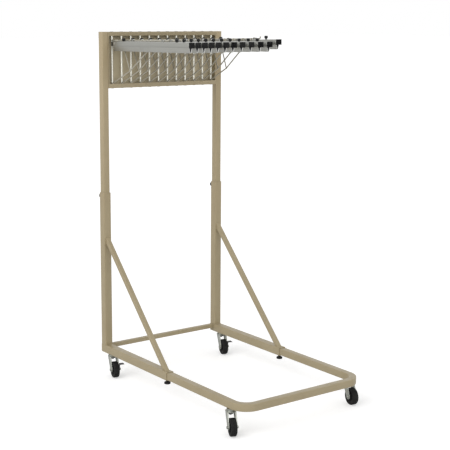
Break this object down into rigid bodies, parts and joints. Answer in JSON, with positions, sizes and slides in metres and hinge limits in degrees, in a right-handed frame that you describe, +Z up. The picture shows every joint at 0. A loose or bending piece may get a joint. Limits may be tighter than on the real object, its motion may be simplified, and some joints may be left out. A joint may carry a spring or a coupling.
{
  "type": "plan hanging rack",
  "caption": "Free-standing rack on casters: a sleeve-and-post mast carries a row of swinging clamp hangers for large sheets over an extending U-shaped base.",
  "frame": {"origin": "on the floor, at the middle of the bounding box: halfway between the posts and between the front of the base and the back of the height knobs", "axes": "+Z up, +X to the right as seen from the front, -Y towards the front, where the hangers and the base reach out"},
  "size_m": [0.7223, 1.116, 1.611],
  "materials": {
    "powder_coat": "satin tan powder coat on square steel tube and sheet",
    "bright_wire": "bright zinc-plated steel wire and rod",
    "aluminium": "mill-finish extrusion",
    "black_plastic": "matte moulded",
    "zinc_steel": "zinc-plated pressed steel",
    "wheel_rubber": "dark grey moulded tread",
    "dark_steel": "dark coated sheet"
  },
  "bodies": {
    "base": {"rear_base_frame": "powder_coat", "left_lower_post": "powder_coat", "right_lower_post": "powder_coat", "left_brace": "powder_coat", "right_brace": "powder_coat"},
    "front_base": {"front_base_frame": "powder_coat"},
    "mast": {"left_upper_post": "powder_coat", "right_upper_post": "powder_coat", "rack_channel": "powder_coat"},
    "hanger_01": {"hanger_bracket_01": "bright_wire", "clamp_rail_01": "aluminium"},
    "jaw_01": {"clamp_jaw_01": "aluminium"},
    "hanger_02": {"hanger_bracket_02": "bright_wire", "clamp_rail_02": "aluminium"},
    "jaw_02": {"clamp_jaw_02": "aluminium"},
    "hanger_03": {"hanger_bracket_03": "bright_wire", "clamp_rail_03": "aluminium"},
    "jaw_03": {"clamp_jaw_03": "aluminium"},
    "hanger_04": {"hanger_bracket_04": "bright_wire", "clamp_rail_04": "aluminium"},
    "jaw_04": {"clamp_jaw_04": "aluminium"},
    "hanger_05": {"hanger_bracket_05": "bright_wire", "clamp_rail_05": "aluminium"},
    "jaw_05": {"clamp_jaw_05": "aluminium"},
    "hanger_06": {"hanger_bracket_06": "bright_wire", "clamp_rail_06": "aluminium"},
    "jaw_06": {"clamp_jaw_06": "aluminium"},
    "hanger_07": {"hanger_bracket_07": "bright_wire", "clamp_rail_07": "aluminium"},
    "jaw_07": {"clamp_jaw_07": "aluminium"},
    "hanger_08": {"hanger_bracket_08": "bright_wire", "clamp_rail_08": "aluminium"},
    "jaw_08": {"clamp_jaw_08": "aluminium"},
    "hanger_09": {"hanger_bracket_09": "bright_wire", "clamp_rail_09": "aluminium"},
    "jaw_09": {"clamp_jaw_09": "aluminium"},
    "hanger_10": {"hanger_bracket_10": "bright_wire", "clamp_rail_10": "aluminium"},
    "jaw_10": {"clamp_jaw_10": "aluminium"},
    "hanger_11": {"hanger_bracket_11": "bright_wire", "clamp_rail_11": "aluminium"},
    "jaw_11": {"clamp_jaw_11": "aluminium"},
    "hanger_12": {"hanger_bracket_12": "bright_wire", "clamp_rail_12": "aluminium"},
    "jaw_12": {"clamp_jaw_12": "aluminium"},
    "rear_left_caster": {"rear_left_fork": "zinc_steel"},
    "rear_left_wheel": {"rear_left_wheel": "wheel_rubber"},
    "rear_left_brake": {"rear_left_brake": "dark_steel"},
    "rear_right_caster": {"rear_right_fork": "zinc_steel"},
    "rear_right_wheel": {"rear_right_wheel": "wheel_rubber"},
    "rear_right_brake": {"rear_right_brake": "dark_steel"},
    "front_left_caster": {"front_left_fork": "zinc_steel"},
    "front_left_wheel": {"front_left_wheel": "wheel_rubber"},
    "front_right_caster": {"front_right_fork": "zinc_steel"},
    "front_right_wheel": {"front_right_wheel": "wheel_rubber"},
    "left_height_knob": {"left_height_knob": "black_plastic"},
    "left_base_knob": {"left_base_knob": "black_plastic"},
    "right_height_knob": {"right_height_knob": "black_plastic"},
    "right_base_knob": {"right_base_knob": "black_plastic"}
  },
  "joints": [
    {"name": "base_extend", "type": "slide", "parent": "base", "child": "front_base", "axis": [0, -1, 0], "range_m": [-0.15, 0.15]},
    {"name": "mast_height", "type": "slide", "parent": "base", "child": "mast", "axis": [0, 0, 1], "range_m": [-0.3, 0.15]},
    {"name": "swing_01", "type": "hinge", "parent": "mast", "child": "hanger_01", "pos_m": [-0.2794, 0.514, 1.483], "axis": [0, 0, -1], "range_deg": [0, 46.49]},
    {"name": "jaw_open_01", "type": "hinge", "parent": "hanger_01", "child": "jaw_01", "pos_m": [-0.26531, 0.21435, 1.56541], "axis": [0.026, -0.9996, 0.013], "range_deg": [0, 15]},
    {"name": "swing_02", "type": "hinge", "parent": "mast", "child": "hanger_02", "pos_m": [-0.2286, 0.514, 1.483], "axis": [0, 0, -1], "range_deg": [0, 43.87]},
    {"name": "jaw_open_02", "type": "hinge", "parent": "hanger_02", "child": "jaw_02", "pos_m": [-0.22298, 0.21407, 1.56541], "axis": [-0.0023, -0.9999, 0.013], "range_deg": [0, 15]},
    {"name": "swing_03", "type": "hinge", "parent": "mast", "child": "hanger_03", "pos_m": [-0.1778, 0.514, 1.483], "axis": [0, 0, -1], "range_deg": [0, 41.31]},
    {"name": "jaw_open_03", "type": "hinge", "parent": "hanger_03", "child": "jaw_03", "pos_m": [-0.18033, 0.21403, 1.56541], "axis": [-0.0294, -0.9995, 0.013], "range_deg": [0, 15]},
    {"name": "swing_04", "type": "hinge", "parent": "mast", "child": "hanger_04", "pos_m": [-0.127, 0.514, 1.483], "axis": [0, 0, -1], "range_deg": [0, 38.88]},
    {"name": "jaw_open_04", "type": "hinge", "parent": "hanger_04", "child": "jaw_04", "pos_m": [-0.13704, 0.21419, 1.56541], "axis": [-0.0545, -0.9984, 0.013], "range_deg": [0, 15]},
    {"name": "swing_05", "type": "hinge", "parent": "mast", "child": "hanger_05", "pos_m": [-0.0762, 0.514, 1.483], "axis": [0, 0, -1], "range_deg": [0, 36.62]},
    {"name": "jaw_open_05", "type": "hinge", "parent": "hanger_05", "child": "jaw_05", "pos_m": [-0.09284, 0.21448, 1.56541], "axis": [-0.0764, -0.997, 0.013], "range_deg": [0, 15]},
    {"name": "swing_06", "type": "hinge", "parent": "mast", "child": "hanger_06", "pos_m": [-0.0254, 0.514, 1.483], "axis": [0, 0, -1], "range_deg": [0, 34.58]},
    {"name": "jaw_open_06", "type": "hinge", "parent": "hanger_06", "child": "jaw_06", "pos_m": [-0.04745, 0.21483, 1.56541], "axis": [-0.0944, -0.9954, 0.013], "range_deg": [0, 15]},
    {"name": "swing_07", "type": "hinge", "parent": "mast", "child": "hanger_07", "pos_m": [0.0254, 0.514, 1.483], "axis": [0, 0, 1], "range_deg": [0, 46.19]},
    {"name": "jaw_open_07", "type": "hinge", "parent": "hanger_07", "child": "jaw_07", "pos_m": [-0.00067, 0.21515, 1.56541], "axis": [-0.1078, -0.9941, 0.013], "range_deg": [0, 15]},
    {"name": "swing_08", "type": "hinge", "parent": "mast", "child": "hanger_08", "pos_m": [0.0762, 0.514, 1.483], "axis": [0, 0, 1], "range_deg": [0, 47.66]},
    {"name": "jaw_open_08", "type": "hinge", "parent": "hanger_08", "child": "jaw_08", "pos_m": [0.04765, 0.21538, 1.56541], "axis": [-0.116, -0.9932, 0.013], "range_deg": [0, 15]},
    {"name": "swing_09", "type": "hinge", "parent": "mast", "child": "hanger_09", "pos_m": [0.127, 0.514, 1.483], "axis": [0, 0, 1], "range_deg": [0, 48.83]},
    {"name": "jaw_open_09", "type": "hinge", "parent": "hanger_09", "child": "jaw_09", "pos_m": [0.09762, 0.21546, 1.56541], "axis": [-0.1188, -0.9928, 0.013], "range_deg": [0, 15]},
    {"name": "swing_10", "type": "hinge", "parent": "mast", "child": "hanger_10", "pos_m": [0.1778, 0.514, 1.483], "axis": [0, 0, 1], "range_deg": [0, 49.83]},
    {"name": "jaw_open_10", "type": "hinge", "parent": "hanger_10", "child": "jaw_10", "pos_m": [0.14842, 0.21546, 1.56541], "axis": [-0.1188, -0.9928, 0.013], "range_deg": [0, 15]},
    {"name": "swing_11", "type": "hinge", "parent": "mast", "child": "hanger_11", "pos_m": [0.2286, 0.514, 1.483], "axis": [0, 0, 1], "range_deg": [0, 50.83]},
    {"name": "jaw_open_11", "type": "hinge", "parent": "hanger_11", "child": "jaw_11", "pos_m": [0.19922, 0.21546, 1.56541], "axis": [-0.1188, -0.9928, 0.013], "range_deg": [0, 15]},
    {"name": "swing_12", "type": "hinge", "parent": "mast", "child": "hanger_12", "pos_m": [0.2794, 0.514, 1.483], "axis": [0, 0, 1], "range_deg": [0, 51.82]},
    {"name": "jaw_open_12", "type": "hinge", "parent": "hanger_12", "child": "jaw_12", "pos_m": [0.25004, 0.21564, 1.57029], "axis": [-0.1188, -0.9925, 0.0293], "range_deg": [0, 15]},
    {"name": "rear_left_swivel", "type": "hinge", "parent": "base", "child": "rear_left_caster", "pos_m": [-0.3208, 0.47, 0.097], "axis": [0, 0, 1], "continuous": true},
    {"name": "rear_left_roll", "type": "hinge", "parent": "rear_left_caster", "child": "rear_left_wheel", "pos_m": [-0.32903, 0.43701, 0.038], "axis": [0.9703, -0.2419, 0], "continuous": true},
    {"name": "rear_left_brake_lever", "type": "hinge", "parent": "rear_left_caster", "child": "rear_left_brake", "pos_m": [-0.32903, 0.43701, 0.038], "axis": [0.9703, -0.2419, 0], "range_deg": [-25, 0]},
    {"name": "rear_right_swivel", "type": "hinge", "parent": "base", "child": "rear_right_caster", "pos_m": [0.3208, 0.47, 0.097], "axis": [0, 0, 1], "continuous": true},
    {"name": "rear_right_roll", "type": "hinge", "parent": "rear_right_caster", "child": "rear_right_wheel", "pos_m": [0.31143, 0.43732, 0.038], "axis": [0.9613, -0.2756, 0], "continuous": true},
    {"name": "rear_right_brake_lever", "type": "hinge", "parent": "rear_right_caster", "child": "rear_right_brake", "pos_m": [0.31143, 0.43732, 0.038], "axis": [0.9613, -0.2756, 0], "range_deg": [-25, 0]},
    {"name": "front_left_swivel", "type": "hinge", "parent": "front_base", "child": "front_left_caster", "pos_m": [-0.3258, -0.466, 0.097], "axis": [0, 0, 1], "continuous": true},
    {"name": "front_left_roll", "type": "hinge", "parent": "front_left_caster", "child": "front_left_wheel", "pos_m": [-0.33909, -0.4973, 0.038], "axis": [0.9205, -0.3907, 0], "continuous": true},
    {"name": "front_right_swivel", "type": "hinge", "parent": "front_base", "child": "front_right_caster", "pos_m": [0.3258, -0.466, 0.097], "axis": [0, 0, 1], "continuous": true},
    {"name": "front_right_roll", "type": "hinge", "parent": "front_right_caster", "child": "front_right_wheel", "pos_m": [0.3199, -0.49948, 0.038], "axis": [0.9848, -0.1736, 0], "continuous": true},
    {"name": "left_height_lock", "type": "hinge", "parent": "base", "child": "left_height_knob", "pos_m": [-0.3208, 0.548, 0.855], "axis": [0, 1, 0], "continuous": true},
    {"name": "left_base_lock", "type": "hinge", "parent": "base", "child": "left_base_knob", "pos_m": [-0.3208, 0.005, 0.095], "axis": [0, 0, 1], "continuous": true},
    {"name": "right_height_lock", "type": "hinge", "parent": "base", "child": "right_height_knob", "pos_m": [0.3208, 0.548, 0.855], "axis": [0, 1, 0], "continuous": true},
    {"name": "right_base_lock", "type": "hinge", "parent": "base", "child": "right_base_knob", "pos_m": [0.3208, 0.005, 0.095], "axis": [0, 0, 1], "continuous": true}
  ],
  "couplings": [
    {"joint": "swing_02", "follows": "swing_01", "ratio": 0.94367},
    {"joint": "swing_03", "follows": "swing_01", "ratio": 0.88867},
    {"joint": "swing_04", "follows": "swing_01", "ratio": 0.83627},
    {"joint": "swing_05", "follows": "swing_01", "ratio": 0.78766},
    {"joint": "swing_06", "follows": "swing_01", "ratio": 0.74387},
    {"joint": "swing_07", "follows": "swing_12", "ratio": 0.89125},
    {"joint": "swing_08", "follows": "swing_12", "ratio": 0.91972},
    {"joint": "swing_09", "follows": "swing_12", "ratio": 0.94211},
    {"joint": "swing_10", "follows": "swing_12", "ratio": 0.96141},
    {"joint": "swing_11", "follows": "swing_12", "ratio": 0.9807}
  ]
}
